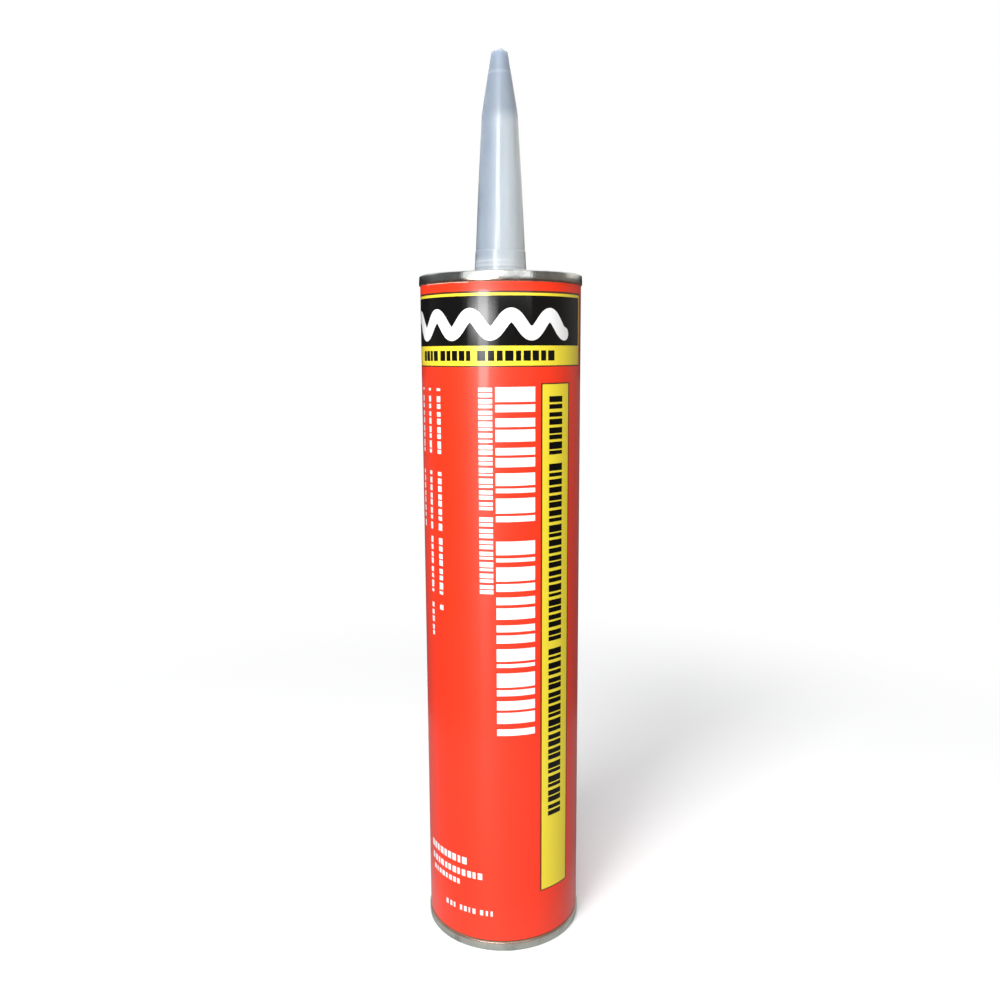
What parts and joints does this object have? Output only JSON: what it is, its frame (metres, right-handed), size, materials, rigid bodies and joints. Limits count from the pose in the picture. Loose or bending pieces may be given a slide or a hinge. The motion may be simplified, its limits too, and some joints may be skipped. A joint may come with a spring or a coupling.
{
  "type": "construction adhesive cartridge",
  "caption": "Tall round adhesive cartridge for a caulking gun, with a printed paper label, rolled metal rims, a tapered closed nozzle and a plunger that slides in the open rear end.",
  "frame": {"origin": "on the axis, in the plane of the rear rim that the cartridge stands on", "axes": "+Z along the axis from the open rear end to the nozzle's tip; -Y is the side the picture shows, and the label's lap is on the +Y side"},
  "size_m": [0.0514, 0.0514, 0.2833],
  "materials": {
    "fibreboard": "wound fibre tube, greyish brown",
    "printed_paper": "glossy coated paper, red ground",
    "tinplate": "bright rolled tinplate",
    "natural_polyethylene": "milky unpigmented polyethylene",
    "foil": "thin sealing foil",
    "adhesive_paste": "tan paste",
    "plunger_tinplate": "drawn tinplate"
  },
  "bodies": {
    "cartridge": {"tube_body": "fibreboard", "label": "printed_paper", "top_end": "tinplate", "bottom_ring": "tinplate", "nozzle": "natural_polyethylene", "foil_seal": "foil", "adhesive": "adhesive_paste"},
    "piston": {"plunger": "plunger_tinplate"}
  },
  "joints": [
    {"name": "plunger_slide", "type": "slide", "parent": "cartridge", "child": "piston", "axis": [0, 0, 1], "range_m": [0, 0.16898], "deforming": ["adhesive"]}
  ]
}
